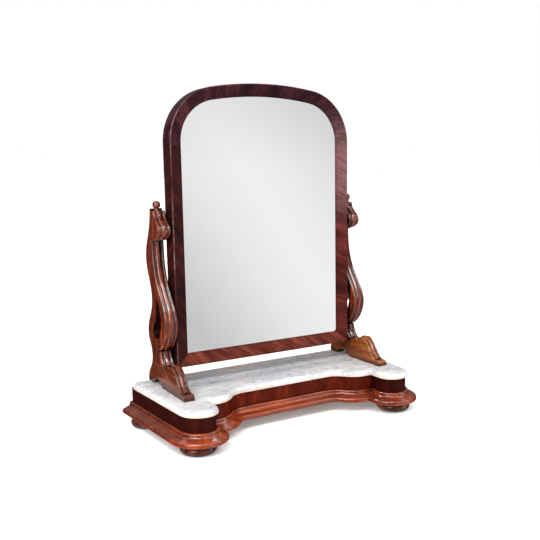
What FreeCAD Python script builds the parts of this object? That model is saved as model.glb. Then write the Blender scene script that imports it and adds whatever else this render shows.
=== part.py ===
import FreeCAD, Part
import math
import os
import Sketcher

Vector = FreeCAD.Vector

doc = FreeCAD.newDocument("vanity_mirror")
sheet = doc.addObject("Spreadsheet::Sheet", "dims")

# Driving dimensions in millimetres. The row frame stands on the floor under the middle of the plinth,
# with X to the right, Y to the back and Z up.
PLINTH_SIZES = (
    ("base_width", 746),
    ("base_depth", 351),
    ("moulding_reach", 29),
    ("moulding_height", 28),
    ("moulding_lip", 3),
    ("moulding_band", 4),
    ("nose_round", 6),
    ("nose_slope_reach", 8),
    ("nose_slope_rise", 3),
    ("cove_radius", 7),
    ("cove_fillet", 1),
    ("foot_height", 28),
    ("board_thickness", 16),
    ("frieze_show", 37),
    ("frieze_wall", 18),
    ("side_taper", 0.069),
    ("lobe_width", 99),
    ("lobe_radius", 45),
    ("notch_recess", 74),
    ("notch_run", 24),
    ("centre_recess", 122),
    ("ogee_radius", 58),
    ("back_board_thickness", 16),
    ("sub_top_thickness", 12),
    ("block_width", 25),
    ("block_setback", 60),
    ("block_spread", 120),
    ("marble_thickness", 15),
    ("marble_overhang", 6),
    ("marble_border", 14),
    ("marble_step", 1.5),
    ("marble_round", 10),
    ("marble_corner", 26),
)
FOOT_SIZES = (
    ("foot_radius", 44),
    ("foot_neck_radius", 38),
    ("foot_neck_height", 5),
    ("foot_groove", 2),
    ("spigot_radius", 12),
    ("spigot_length", 14),
    ("front_foot_inset", 85),
    ("front_foot_setback", 65),
    ("rear_foot_inset", 53),
    ("rear_foot_setback", 49),
)
UPRIGHT_SIZES = (
    ("upright_inset", 85.5),
    ("upright_thickness", 27),
    ("pivot_offset", 80.5),
    ("bracket_height", 56),
    ("neck_front", 17),
    ("neck_back", 54),
    ("loop_bottom", 94),
    ("throat_front", 1),
    ("throat_drop", 2),
    ("nape_back", 52),
    ("nape_drop", 10),
    ("loop_back", 72),
    ("loop_back_rise", 34),
    ("belly_reach", 45),
    ("belly_rise", 68),
    ("belly_under", 15),
    ("belly_under_rise", 13),
    ("strand_mid", 3),
    ("strand_mid_rise", 149),
    ("strand_width", 27),
    ("loop_width", 32),
    ("waist_back", 39),
    ("waist_rise", 116),
    ("eye_middle", 7),
    ("eye_rise", 144),
    ("eye_shoulder", 22),
    ("eye_shoulder_rise", 73),
    ("chin_back", 25),
    ("chin_height", 371),
    ("strand_setback", 3),
    ("bulge_back", 69),
    ("bulge_drop", 46),
    ("nose_reach", 21),
    ("nose_rise", 26),
    ("brow_reach", 2),
    ("brow_rise", 21),
    ("occiput_back", 39),
    ("occiput_rise", 7),
    ("head_front", 11),
    ("head_rise", 24),
    ("horn_back", 31),
    ("horn_rise", 6),
    ("crown_back", 27),
    ("curve_tolerance", 0.8),
    ("relief_width", 26.2),
    ("relief_root", 4),
    ("relief_floor", 0.5),
    ("bead_width", 5.2),
    ("bead_rise", 2.4),
    ("quirk_width", 1.8),
    ("round_rise", 5),
    ("finial_setback", 18),
    ("finial_radius", 10),
    ("finial_neck_radius", 6),
    ("finial_collar_radius", 9),
    ("finial_collar_height", 3),
    ("finial_stem", 4),
    ("finial_spigot_radius", 4),
    ("finial_spigot_length", 14),
)
BRACKET_SIZES = (
    ("heel_back", 80),
    ("heel_flare", 82),
    ("heel_flare_height", 13),
    ("ankle_back", 68),
    ("ankle_height", 36),
    ("heel_pad", 30),
    ("arch_peak", 16),
    ("arch_rise", 17),
    ("arch_front", 10),
    ("scoop_reach", 36),
    ("scoop_height", 47),
    ("scroll_foot", 47),
    ("scroll_foot_height", 45),
    ("scroll_top", 76),
    ("scroll_height", 64),
    ("scroll_front", 96),
    ("scroll_front_height", 47),
    ("instep_reach", 110),
    ("instep_height", 28),
    ("toe_back", 128),
    ("toe_height", 14),
    ("toe_reach", 147),
    ("toe_round", 7),
    ("toe_notch", 96),
    ("toe_notch_width", 8),
    ("toe_notch_rise", 4),
)
FRAME_SIZES = (
    ("pivot_gap", 12),
    ("frame_height", 707),
    ("frame_depth", 48),
    ("frame_face", 32),
    ("frame_clearance", 48),
    ("edge_round", 5),
    ("splay", 10),
    ("slip_width", 3),
    ("slip_step", 1.5),
    ("arch_corner_radius", 136),
    ("arch_crown_radius", 900),
    ("arch_joint_drop", 156),
    ("glass_setback", 14),
    ("glass_lap", 8),
    ("glass_thickness", 4),
    ("glass_room", 0.8),
    ("ledge_setback", 34),
    ("ledge_width", 10),
    ("backboard_thickness", 9),
    ("glass_block_width", 12),
    ("glass_block_length", 50),
    ("glass_block_spacing", 190),
    ("frame_dowel_radius", 4),
    ("frame_dowel_length", 36),
    ("frame_dowel_inset", 13),
    ("frame_dowel_cover", 3),
)
HARDWARE_SIZES = (
    ("pin_radius", 4),
    ("pin_length", 12),
    ("pin_play", 0.05),
    ("boss_radius", 9),
    ("plate_thickness", 2.5),
    ("plate_width", 18),
    ("plate_length", 60),
    ("plate_screw_spacing", 42),
    ("washer_radius", 12),
    ("washer_thickness", 2.5),
    ("washer_play", 0.2),
    ("washer_room", 0.5),
    ("bush_radius", 7),
    ("bush_length", 16),
    ("flange_radius", 15),
    ("flange_thickness", 2),
    ("flange_screw_spacing", 22),
    ("bolt_radius", 4),
    ("bolt_setback", 20),
    ("bolt_height", 100),
    ("bolt_tail", 12),
    ("nut_width", 14),
    ("nut_height", 7),
    ("bolt_washer_radius", 11),
    ("bolt_washer_thickness", 2),
    ("dowel_radius", 4),
    ("dowel_length", 36),
    ("dowel_setback", 42),
    ("screw_radius", 1.8),
    ("screw_head_radius", 3.4),
    ("screw_head_height", 2),
    ("screw_slot_radius", 0.6),
    ("short_screw_length", 14),
    ("long_screw_length", 30),
    ("bracket_screw_reach", 70),
    ("bracket_screw_bite", 36),
    ("fit_gap", 0.1),
)
ALL_SIZES = PLINTH_SIZES + FOOT_SIZES + UPRIGHT_SIZES + BRACKET_SIZES + FRAME_SIZES + HARDWARE_SIZES
for row, (alias, size) in enumerate(ALL_SIZES, start=1):
    sheet.set(f"A{row}", alias)
    sheet.set(f"B{row}", str(size))
    sheet.setAlias(f"B{row}", alias)
doc.recompute()

# Places that several pieces share, as expressions of the sheet.
FRIEZE_SIDE = "(dims.base_width / 2 - dims.moulding_reach)"
FRIEZE_FRONT = "(dims.moulding_reach - dims.base_depth / 2)"
BASE_BACK = "(dims.base_depth / 2)"
NOTCH_SIDE = f"({FRIEZE_SIDE} - dims.lobe_width)"
TAPER_LENGTH = "sqrt(1 + dims.side_taper ^ 2)"
LOBE_DEPTH = f"({FRIEZE_FRONT} + dims.lobe_radius)"
LOBE_SIDE = f"({FRIEZE_SIDE} - ({BASE_BACK} - {LOBE_DEPTH}) * dims.side_taper)"
LOBE_MIDDLE = f"({LOBE_SIDE} - dims.lobe_radius * {TAPER_LENGTH})"
LOBE_INNER = f"({LOBE_MIDDLE} - {NOTCH_SIDE})"
NOTCH_FRONT = f"({FRIEZE_FRONT} + dims.notch_recess)"
CENTRE_FRONT = f"({FRIEZE_FRONT} + dims.centre_recess)"
OGEE_COS = "(1 - (dims.centre_recess - dims.notch_recess) / (2 * dims.ogee_radius))"
OGEE_SIN = f"sqrt(1 - {OGEE_COS} ^ 2)"
BOARD_TOP = "(dims.foot_height + dims.board_thickness)"
FRIEZE_TOP = "(dims.foot_height + dims.moulding_height + dims.frieze_show)"
SUB_TOP_UNDER = f"({FRIEZE_TOP} - dims.sub_top_thickness)"
MARBLE_TOP = f"({FRIEZE_TOP} + dims.marble_thickness)"
NOSE_HEIGHT = "(dims.chin_height + dims.nose_rise)"
BROW_HEIGHT = f"({NOSE_HEIGHT} + dims.brow_rise)"
HEAD_HEIGHT = f"({BROW_HEIGHT} + dims.head_rise)"
HEAD_TOP = f"({MARBLE_TOP} + {HEAD_HEIGHT})"
PIVOT_HEIGHT = f"({MARBLE_TOP} + {NOSE_HEIGHT})"
UPRIGHT_MIDDLE = "(dims.base_width / 2 - dims.upright_inset)"
UPRIGHT_INNER = f"({UPRIGHT_MIDDLE} - dims.upright_thickness / 2)"
FRAME_SIDE = f"({UPRIGHT_INNER} - dims.pivot_gap)"
RAIL_UNDER = f"(dims.frame_clearance - {NOSE_HEIGHT})"
CROWN_TOP = f"({RAIL_UNDER} + dims.frame_height)"
ARCH_SIN = f"(({FRAME_SIDE} - dims.arch_corner_radius) / (dims.arch_crown_radius - dims.arch_corner_radius))"
ARCH_COS = f"sqrt(1 - {ARCH_SIN} ^ 2)"
ARCH_SPRING = (
    f"({CROWN_TOP} - dims.arch_crown_radius * (1 - {ARCH_COS}) - dims.arch_corner_radius * {ARCH_COS})"
)
ARCH_JOINT = f"({CROWN_TOP} - dims.arch_joint_drop)"
FRAME_FRONT = "(-dims.frame_depth / 2)"
GLASS_FRONT = f"({FRAME_FRONT} + dims.glass_setback)"
GLASS_BACK = f"({GLASS_FRONT} + dims.glass_thickness)"
LEDGE = f"({FRAME_FRONT} + dims.ledge_setback)"
REBATE = "(dims.frame_face - dims.glass_lap)"
LEDGE_EDGE = f"({REBATE} - dims.ledge_width)"
SIDES = (("left", -1), ("right", 1))
BLOCK_SHARES = (0.2, 0.5, 0.8)
SCREW_SHARES = (0.1, 0.5, 0.9)
pieces = []


def dim(alias):
    return float(sheet.get(alias))


def value(expression):
    return float(sheet.evalExpression(expression))


def keep(piece):
    """Lists a finished piece for writing."""
    pieces.append(piece)
    return piece


# Sketching
def new_body(label):
    body = doc.addObject("PartDesign::Body", label)
    body.Label = label
    return body


def new_sketch(body, name, role, offset=None):
    """Sketch on one of the body's own origin planes, moved by an optional placement."""
    sketch = body.newObject("Sketcher::SketchObject", name)
    plane = next(item for item in body.Origin.OriginFeatures if item.Role == role)
    sketch.AttachmentSupport = (plane, [""])
    sketch.MapMode = "FlatFace"
    if offset is not None:
        sketch.AttachmentOffset = offset
    return sketch


def bind(sketch, constraint, expression):
    index = sketch.addConstraint(constraint)
    sketch.setExpression(f"Constraints[{index}]", expression)


def pin_point(sketch, index, end, point):
    """Ties one end of a curve to a place given by two expressions."""
    for kind, expression in zip(("DistanceX", "DistanceY"), point):
        bind(sketch, Sketcher.Constraint(kind, -1, 1, index, end, value(expression)), expression)


def arc_between(start, end, radius, turn):
    """Arc of under a half circle; turn is 1 to the left of travel and -1 to the right."""
    chord = end - start
    rise = math.sqrt(max(radius ** 2 - (chord.Length / 2) ** 2, 0))
    left = Vector(-chord.y, chord.x, 0) / chord.Length
    centre = (start + end) / 2 + left * (turn * rise)
    first, last = (start, end) if turn > 0 else (end, start)
    circle = Part.Circle(centre, Vector(0, 0, 1), radius)
    angles = [math.atan2(point.y - centre.y, point.x - centre.x) for point in (first, last)]
    return Part.ArcOfCircle(circle, *angles)


def draw(sketch, start, steps, closed=True):
    """Chain of lines (x, y) and arcs (x, y, radius, turn), every size an expression of the sheet."""
    here = start
    previous = None
    for number, step in enumerate(steps, start=1):
        there = step[:2]
        begin, finish = (Vector(value(point[0]), value(point[1]), 0) for point in (here, there))
        if len(step) == 2:
            index = sketch.addGeometry(Part.LineSegment(begin, finish))
            first, last = 1, 2
        else:
            radius, turn = step[2:]
            index = sketch.addGeometry(arc_between(begin, finish, value(radius), turn))
            bind(sketch, Sketcher.Constraint("Radius", index, value(radius)), radius)
            first, last = (1, 2) if turn > 0 else (2, 1)
        if previous is None:
            opening = (index, first)
            pin_point(sketch, index, first, here)
        else:
            sketch.addConstraint(Sketcher.Constraint("Coincident", *previous, index, first))
        previous = (index, last)
        if closed and number == len(steps):
            sketch.addConstraint(Sketcher.Constraint("Coincident", *previous, *opening))
        else:
            pin_point(sketch, index, last, there)
        here = there


def rectangle(sketch, low, high):
    draw(sketch, low, [(high[0], low[1]), high, (low[0], high[1]), low])


def spline(points, leave=None, arrive=None):
    """Smooth curve through a few points, with optional directions at its ends."""
    curve = Part.BSplineCurve()
    tangents = {}
    if leave is not None:
        tangents = {"InitialTangent": Vector(*leave, 0), "FinalTangent": Vector(*arrive, 0)}
    curve.interpolate(Points=[Vector(*point, 0) for point in points], **tangents)
    return curve


def arc_chain(curve):
    """A smooth curve as tangent arcs, all turning about +Z."""
    arcs = []
    for arc in curve.toBiArcs(dim("curve_tolerance")):
        turn = 1 if arc.Axis.z > 0 else -1
        arcs.append(arc_between(arc.StartPoint, arc.EndPoint, arc.Radius, turn))
    return arcs


def draw_curves(sketch, curves):
    """Freeform outline: fixed lines, arcs and smooth curves joined end to end."""
    for curve in curves:
        for part in arc_chain(curve) if isinstance(curve, Part.BSplineCurve) else [curve]:
            index = sketch.addGeometry(part)
            sketch.addConstraint(Sketcher.Constraint("Block", index))


def segment(start, end):
    return Part.LineSegment(Vector(*start[:2], 0), Vector(*end[:2], 0))


def ends(curve):
    return curve.value(curve.FirstParameter), curve.value(curve.LastParameter)


def bridge(first, second):
    """Straight line from the end of one curve to the start of the next."""
    return segment(ends(first)[1], ends(second)[0])


# Features
def pad(body, name, sketch, length, symmetric=False, reverse=False):
    feature = body.newObject("PartDesign::Pad", name)
    feature.Profile = sketch
    feature.SideType = "Symmetric" if symmetric else "One side"
    feature.Reversed = reverse
    feature.setExpression("Length", length)
    sketch.Visibility = False
    return feature


def pocket_through(body, name, sketch):
    """Cuts a sketch right through, and makes sure that it met the solid."""
    doc.recompute()
    before = body.Shape.Volume
    feature = body.newObject("PartDesign::Pocket", name)
    feature.Profile = sketch
    feature.SideType = "Symmetric"
    feature.Type = "ThroughAll"
    doc.recompute()
    if body.Shape.Volume >= before:
        raise RuntimeError(f"{name} removes nothing")
    return feature


def sweep(body, name, section, spine):
    feature = body.newObject("PartDesign::AdditivePipe", name)
    feature.Profile = section
    feature.Spine = (spine, [f"Edge{number + 1}" for number in range(spine.GeometryCount)])
    return feature


def put(item, place, axis="+z"):
    """Places a piece by three expressions, with its own Z turned to the named axis."""
    turns = {"+z": (0, 0), "+x": (90, 0), "-x": (-90, 0), "+y": (0, -90), "-y": (0, 90)}
    about_y, about_x = turns[axis]
    rotation = FreeCAD.Rotation(Vector(0, 1, 0), about_y) * FreeCAD.Rotation(Vector(1, 0, 0), about_x)
    item.Placement = FreeCAD.Placement(Vector(0, 0, 0), rotation)
    for letter, expression in zip("xyz", place):
        item.setExpression(f"Placement.Base.{letter}", expression)
    return item


def rod(name, radius, length, place, axis="+z"):
    cylinder = doc.addObject("Part::Cylinder", name)
    cylinder.setExpression("Radius", radius)
    cylinder.setExpression("Height", length)
    return put(cylinder, place, axis)


def block(name, sizes, place):
    box = doc.addObject("Part::Box", name)
    for edge, expression in zip(("Length", "Width", "Height"), sizes):
        box.setExpression(edge, expression)
    return put(box, place)


def screw(name, length, place, axis, grow="0"):
    """Slotted countersunk screw from the middle of its head along an axis; grow makes the hole for it."""
    head = doc.addObject("Part::Cone", f"{name}_head")
    head.setExpression("Radius1", f"dims.screw_head_radius + {grow}")
    head.setExpression("Radius2", f"dims.screw_radius + {grow}")
    head.setExpression("Height", "dims.screw_head_height")
    put(head, place, axis)
    shank = rod(f"{name}_shank", f"dims.screw_radius + {grow}", f"{length} + {grow}", place, axis)
    solid = fuse(name, [head, shank])
    if grow != "0":
        return solid
    way, letter = ("+y", 1) if axis[1] == "x" else ("+x", 0)
    half = "(dims.screw_head_radius + dims.screw_slot_radius)"
    start = list(place)
    start[letter] = f"{place[letter]} - {half}"
    return cut(name, solid, [rod(f"{name}_slot", "dims.screw_slot_radius", f"2 * {half}", start, way)])


def fuse(label, shapes):
    union = doc.addObject("Part::MultiFuse", label)
    union.Shapes = shapes
    union.Label = label
    return union


def group(label, shapes):
    compound = doc.addObject("Part::Compound", label)
    compound.Links = shapes
    compound.Label = label
    return compound


def cut(label, base, tools):
    """Base less every tool; the base keeps a name of its own."""
    base.Label = f"{label}_blank"
    difference = doc.addObject("Part::Cut", label)
    difference.Base = base
    difference.Tool = tools[0] if len(tools) == 1 else group(f"{label}_voids", tools)
    difference.Label = label
    return difference


# Plan of the plinth: paths offset outwards from the face of the frieze.
def mirrored(sign, expression):
    return expression if sign > 0 else f"-({expression})"


def side_at(grow, depth):
    """How far out the tapered side lies at a depth."""
    return f"({FRIEZE_SIDE} + ({grow}) * {TAPER_LENGTH} - ({BASE_BACK} - ({depth})) * dims.side_taper)"


def on_side_arc(middle, depth, radius):
    """Where an arc of that middle and radius meets the tapered side."""
    out = f"({radius}) / {TAPER_LENGTH}"
    return f"{middle} + {out}", f"{depth} - {out} * dims.side_taper"


def lobe_path(sign, grow):
    """From the back corner along the tapered side and round a lobe to its notch."""
    radius = f"dims.lobe_radius + {grow}"
    points = [
        (side_at(grow, BASE_BACK), BASE_BACK),
        on_side_arc(LOBE_MIDDLE, LOBE_DEPTH, radius),
        (LOBE_MIDDLE, f"{FRIEZE_FRONT} - {grow}", radius, -sign),
        (f"{NOTCH_SIDE} - {grow}", f"{FRIEZE_FRONT} + {LOBE_INNER}", f"{LOBE_INNER} + {grow}", -sign),
        (f"{NOTCH_SIDE} - {grow}", f"{NOTCH_FRONT} - {grow}"),
    ]
    return [(mirrored(sign, point[0]), *point[1:]) for point in points]


def centre_path(grow, end_grow):
    """From the left notch along the ogees and the straight middle to the right notch."""
    run_x = f"({NOTCH_SIDE} - dims.notch_run)"
    turn_x = f"({run_x} - (dims.ogee_radius + {grow}) * {OGEE_SIN})"
    turn_y = f"({NOTCH_FRONT} + dims.ogee_radius - (dims.ogee_radius + {grow}) * {OGEE_COS})"
    flat_x = f"({run_x} - 2 * dims.ogee_radius * {OGEE_SIN})"
    notch = (f"{NOTCH_SIDE} - {end_grow}", f"{NOTCH_FRONT} - {grow}")
    convex = f"dims.ogee_radius + {grow}"
    concave = f"dims.ogee_radius - {grow}"
    run_y = f"{NOTCH_FRONT} - {grow}"
    flat_y = f"{CENTRE_FRONT} - {grow}"
    return [
        (f"-({notch[0]})", notch[1]),
        (f"-{run_x}", run_y),
        (f"-{turn_x}", turn_y, convex, 1),
        (f"-{flat_x}", flat_y, concave, -1),
        (flat_x, flat_y),
        (turn_x, turn_y, concave, -1),
        (run_x, run_y, convex, 1),
        notch,
    ]


def backwards(path):
    """The same chain walked from its other end."""
    steps = [path[-1][:2]]
    for place, step in zip(path[-2::-1], path[:0:-1]):
        steps.append(place[:2] if len(step) == 2 else (*place[:2], step[2], -step[3]))
    return steps


def plan(grow, back=BASE_BACK, corner=None):
    """Closed plan of the whole plinth, grown by an expression."""
    chain = lobe_path(-1, grow) + centre_path(grow, grow)[1:] + backwards(lobe_path(1, grow))[1:]
    if corner is None:
        side = side_at(grow, back)
        chain[0] = (f"-{side}", back)
        chain[-1] = (side, back)
        return chain[0], chain[1:] + [chain[0]]
    depth = f"({back} - {corner})"
    middle = f"({side_at(grow, depth)} - {corner} * {TAPER_LENGTH})"
    chain[-1] = on_side_arc(middle, depth, corner)
    chain[0] = (f"-({chain[-1][0]})", chain[-1][1])
    tail = [(middle, back, corner, 1), (f"-{middle}", back), (*chain[0], corner, 1)]
    return chain[0], chain[1:] + tail


# Plinth
def slab(label, height, thickness, outline):
    """Flat board with a plan outline, standing on a height."""
    body = new_body(label)
    sketch = new_sketch(body, f"{label}_plan", "XY_Plane")
    draw(sketch, *outline)
    pad(body, f"{label}_pad", sketch, thickness)
    return put(body, ("0", "0", height))


def make_frieze():
    height = f"{FRIEZE_TOP} - {BOARD_TOP}"
    inner = "-dims.frieze_wall"
    for side, sign in SIDES:
        outside = lobe_path(sign, "0")
        inside = backwards(lobe_path(sign, inner))
        end = (outside[-1][0], inside[0][1])
        outline = outside[0], outside[1:] + [end] + inside + [outside[0]]
        keep(slab(f"frieze_{side}", BOARD_TOP, height, outline))
    outside = centre_path("0", "0")
    inside = backwards(centre_path(inner, "0"))
    keep(slab("frieze_centre", BOARD_TOP, height, (outside[0], outside[1:] + inside + [outside[0]])))


def moulding_section(sketch, face, out, height="0"):
    """Base moulding from the face of the frieze: lip, band, nose, cove and bead."""

    def at(reach, rise):
        return f"{face} + ({out}) * ({reach})", f"{height} + {rise}"

    nose = "dims.moulding_reach - dims.nose_round"
    nose_top = "dims.moulding_lip + dims.moulding_band + dims.nose_round"
    cove = f"{nose} - dims.nose_slope_reach"
    cove_foot = f"{nose_top} + dims.nose_slope_rise"
    bead = f"{cove} - dims.cove_radius"
    bead_radius = f"(dims.moulding_height - ({cove_foot} + dims.cove_radius + dims.cove_fillet))"
    steps = [
        at("dims.moulding_reach - dims.moulding_lip", "0"),
        (*at("dims.moulding_reach", "dims.moulding_lip"), "dims.moulding_lip", out),
        at("dims.moulding_reach", "dims.moulding_lip + dims.moulding_band"),
        (*at(nose, nose_top), "dims.nose_round", out),
        at(cove, cove_foot),
        (*at(bead, f"{cove_foot} + dims.cove_radius"), "dims.cove_radius", -out),
        at(bead, f"{cove_foot} + dims.cove_radius + dims.cove_fillet"),
        (*at(f"{bead} - {bead_radius}", "dims.moulding_height"), bead_radius, out),
        at("0", "dims.moulding_height"),
        at("0", "0"),
    ]
    draw(sketch, at("0", "0"), steps)


def make_mouldings():
    lobes = []
    for side, sign in SIDES:
        body = new_body(f"plinth_moulding_{side}")
        path = backwards(lobe_path(sign, "0"))
        spine = new_sketch(body, f"moulding_path_{side}", "XY_Plane")
        draw(spine, path[0], path[1:], closed=False)
        offset = FreeCAD.Placement(Vector(0, 0, -value(NOTCH_FRONT)), FreeCAD.Rotation())
        section = new_sketch(body, f"moulding_section_{side}", "XZ_Plane", offset)
        section.setExpression("AttachmentOffset.Base.z", f"-{NOTCH_FRONT}")
        moulding_section(section, mirrored(sign, NOTCH_SIDE), -sign)
        sweep(body, f"moulding_run_{side}", section, spine)
        lobes.append(keep(put(body, ("0", "0", "dims.foot_height"))))
    body = new_body("moulding_centre_run")
    path = centre_path("0", "0")
    spine = new_sketch(body, "moulding_path_centre", "XY_Plane")
    draw(spine, path[0], path[1:], closed=False)
    offset = FreeCAD.Placement(Vector(0, 0, -value(NOTCH_SIDE)), FreeCAD.Rotation())
    section = new_sketch(body, "moulding_section_centre", "YZ_Plane", offset)
    section.setExpression("AttachmentOffset.Base.z", f"-{NOTCH_SIDE}")
    moulding_section(section, NOTCH_FRONT, -1)
    sweep(body, "moulding_run_centre", section, spine)
    put(body, ("0", "0", "dims.foot_height"))
    keep(cut("plinth_moulding_centre", body, lobes))


# Fasteners of the uprights: each is also cut, a little larger, from all that it passes through.
def upright_places(setback):
    """Plan of a point of both uprights, set back from the pivot by an expression."""
    return [(mirrored(sign, UPRIGHT_MIDDLE), f"dims.pivot_offset + {setback}") for _, sign in SIDES]


def upright_bolts(name, grow="0"):
    length = f"dims.bolt_tail + {MARBLE_TOP} - {SUB_TOP_UNDER} + dims.bolt_height"
    foot = f"{SUB_TOP_UNDER} - dims.bolt_tail"
    radius = f"dims.bolt_radius + {grow}"
    return [rod(name, radius, length, (*place, foot)) for place in upright_places("dims.bolt_setback")]


def bracket_screws(name, grow="0"):
    length = f"{MARBLE_TOP} - {SUB_TOP_UNDER} + dims.bracket_screw_bite"
    places = upright_places("(-dims.bracket_screw_reach)")
    return [screw(name, length, (*place, SUB_TOP_UNDER), "+z", grow) for place in places]


def upright_dowels(name, grow="0"):
    foot = f"{MARBLE_TOP} + dims.bracket_height - dims.dowel_length / 2"
    radius = f"dims.dowel_radius + {grow}"
    places = upright_places("dims.dowel_setback")
    return [rod(name, radius, "dims.dowel_length", (*place, foot)) for place in places]


BOLT_HOLES = upright_bolts("bolt_hole", "dims.fit_gap")
BRACKET_SCREW_HOLES = bracket_screws("bracket_screw_hole", "dims.fit_gap")
DOWEL_HOLES = upright_dowels("dowel_hole", "dims.fit_gap")


def make_marble():
    slab_height = "dims.marble_thickness - dims.marble_step"
    outline = plan("dims.marble_overhang", BASE_BACK, "dims.marble_corner")
    body = slab("marble_slab", FRIEZE_TOP, slab_height, outline)
    doc.recompute()
    top = value(slab_height)
    base = body.Tip
    rim = []
    for number, edge in enumerate(base.Shape.Edges, start=1):
        if min(abs(vertex.Z - top) < 1e-4 for vertex in edge.Vertexes):
            rim.append(f"Edge{number}")
    thumb = body.newObject("PartDesign::Fillet", "marble_thumb")
    thumb.Base = (base, rim)
    thumb.setExpression("Radius", "dims.marble_round")
    field = new_sketch(body, "marble_field", "XY_Plane")
    field.setExpression("AttachmentOffset.Base.z", slab_height)
    inset = "(dims.marble_overhang - dims.marble_border)"
    corner = "(dims.marble_corner - dims.marble_border)"
    draw(field, *plan(inset, f"({BASE_BACK} - dims.marble_border)", corner))
    pad(body, "marble_field_pad", field, "dims.marble_step")
    keep(cut("marble_top", body, BOLT_HOLES + BRACKET_SCREW_HOLES))


def block_places():
    """Low corner of each glue block in plan: rear corners, sides and behind the middle of the frieze."""
    rear = f"{BASE_BACK} - dims.back_board_thickness - dims.block_width"
    middle = f"{CENTRE_FRONT} + dims.frieze_wall"
    places = []
    for depth in (rear, "-dims.block_setback"):
        wall = side_at("-dims.frieze_wall", depth)
        places.append((f"-{wall}", depth))
        places.append((f"{wall} - dims.block_width", depth))
    places.append(("-dims.block_spread / 2 - dims.block_width / 2", middle))
    places.append(("dims.block_spread / 2 - dims.block_width / 2", middle))
    return places


def make_plinth_boards():
    inside = "(-dims.frieze_wall - dims.fit_gap)"
    back = f"({BASE_BACK} - dims.back_board_thickness - dims.fit_gap)"
    board = slab("sub_top_board", SUB_TOP_UNDER, "dims.sub_top_thickness", plan(inside, back))
    keep(cut("base_sub_top", board, BOLT_HOLES + BRACKET_SCREW_HOLES))

    front = f"({BASE_BACK} - dims.back_board_thickness)"
    corners = []
    for depth in (front, BASE_BACK):
        side = side_at("-dims.frieze_wall", depth)
        corners.append(((f"-{side}", depth), (side, depth)))
    (front_left, front_right), (back_left, back_right) = corners
    outline = front_left, [front_right, back_right, back_left, front_left]
    keep(slab("base_back_board", BOARD_TOP, f"{FRIEZE_TOP} - {BOARD_TOP}", outline))

    board = slab("bottom_board", "dims.foot_height", "dims.board_thickness", plan("0"))
    length = "dims.board_thickness + dims.long_screw_length"
    blocks = []
    screws = []
    holes = []
    for corner in block_places():
        sizes = ("dims.block_width", "dims.block_width", f"{SUB_TOP_UNDER} - {BOARD_TOP}")
        blocks.append(block("glue_block", sizes, (*corner, BOARD_TOP)))
        middle = [f"{edge} + dims.block_width / 2" for edge in corner]
        screws.append(screw("base_screw", length, (*middle, "dims.foot_height"), "+z"))
        holes.append(screw("base_screw_hole", length, (*middle, "dims.foot_height"), "+z", "dims.fit_gap"))
    keep(cut("corner_blocks", group("glue_blocks", blocks), holes))
    keep(group("base_screws", screws))
    for _, (across, depth) in FOOT_PLACES:
        radius = "dims.spigot_radius + dims.fit_gap"
        holes.append(rod("spigot_hole", radius, "dims.board_thickness", (across, depth, "dims.foot_height")))
    keep(cut("base_bottom_board", board, holes))


# Bun feet
FOOT_PLACES = []
for foot_side, foot_sign in SIDES:
    front_across = mirrored(foot_sign, "dims.base_width / 2 - dims.front_foot_inset")
    rear_across = mirrored(foot_sign, "dims.base_width / 2 - dims.rear_foot_inset")
    front = (front_across, f"dims.front_foot_setback - {BASE_BACK}")
    rear = (rear_across, f"{BASE_BACK} - dims.rear_foot_setback")
    FOOT_PLACES += [(f"front_{foot_side}", front), (f"rear_{foot_side}", rear)]


def turn(body, name, start, steps):
    """Revolves a half section, drawn in X and Z, about the body's Z axis."""
    sketch = new_sketch(body, f"{name}_section", "XZ_Plane")
    draw(sketch, start, steps)
    feature = body.newObject("PartDesign::Revolution", name)
    feature.Profile = sketch
    feature.ReferenceAxis = (sketch, ["V_Axis"])
    feature.Angle = 360
    return body


def make_bun_foot(corner, place):
    """Flattened bun on a shallow neck, with a spigot for the bottom board."""
    shoulder = "(dims.foot_height - dims.foot_neck_height)"
    waist = f"({shoulder} / 2)"
    upper = "(dims.foot_radius - dims.foot_neck_radius + dims.foot_groove)"
    neck = "(dims.foot_neck_radius - dims.foot_groove)"
    steps = [
        (f"dims.foot_radius - {waist}", "0"),
        ("dims.foot_radius", waist, waist, 1),
        (neck, shoulder, f"(({upper}) ^ 2 + {waist} ^ 2) / (2 * {upper})", 1),
        (neck, f"{shoulder} + dims.foot_groove"),
        ("dims.foot_neck_radius", f"{shoulder} + dims.foot_groove"),
        ("dims.foot_neck_radius", "dims.foot_height"),
        ("dims.spigot_radius", "dims.foot_height"),
        ("dims.spigot_radius", "dims.foot_height + dims.spigot_length"),
        ("0", "dims.foot_height + dims.spigot_length"),
        ("0", "0"),
    ]
    body = turn(new_body(f"bun_foot_{corner}"), f"bun_{corner}", ("0", "0"), steps)
    keep(put(body, (*place, "0")))


# Uprights, drawn from the pivot's axis in Y and from the marble in Z
def relief_section(sketch):
    """Bead, quirk, half round, quirk and bead across a moulded front."""
    half = "dims.relief_width / 2"
    bead = f"({half} - dims.bead_width)"
    rounded = f"({bead} - dims.quirk_width)"
    bead_radius = "((dims.bead_width / 2) ^ 2 + dims.bead_rise ^ 2) / (2 * dims.bead_rise)"
    round_radius = f"({rounded} ^ 2 + dims.round_rise ^ 2) / (2 * dims.round_rise)"
    floor = "dims.relief_floor"
    steps = [
        (f"-({half})", floor),
        (f"-{bead}", floor, bead_radius, -1),
        (f"-{rounded}", floor),
        (rounded, floor, round_radius, -1),
        (bead, floor),
        (half, floor, bead_radius, -1),
        (half, "-dims.relief_root"),
        (f"-({half})", "-dims.relief_root"),
    ]
    draw(sketch, (f"-({half})", "-dims.relief_root"), steps)


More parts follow.
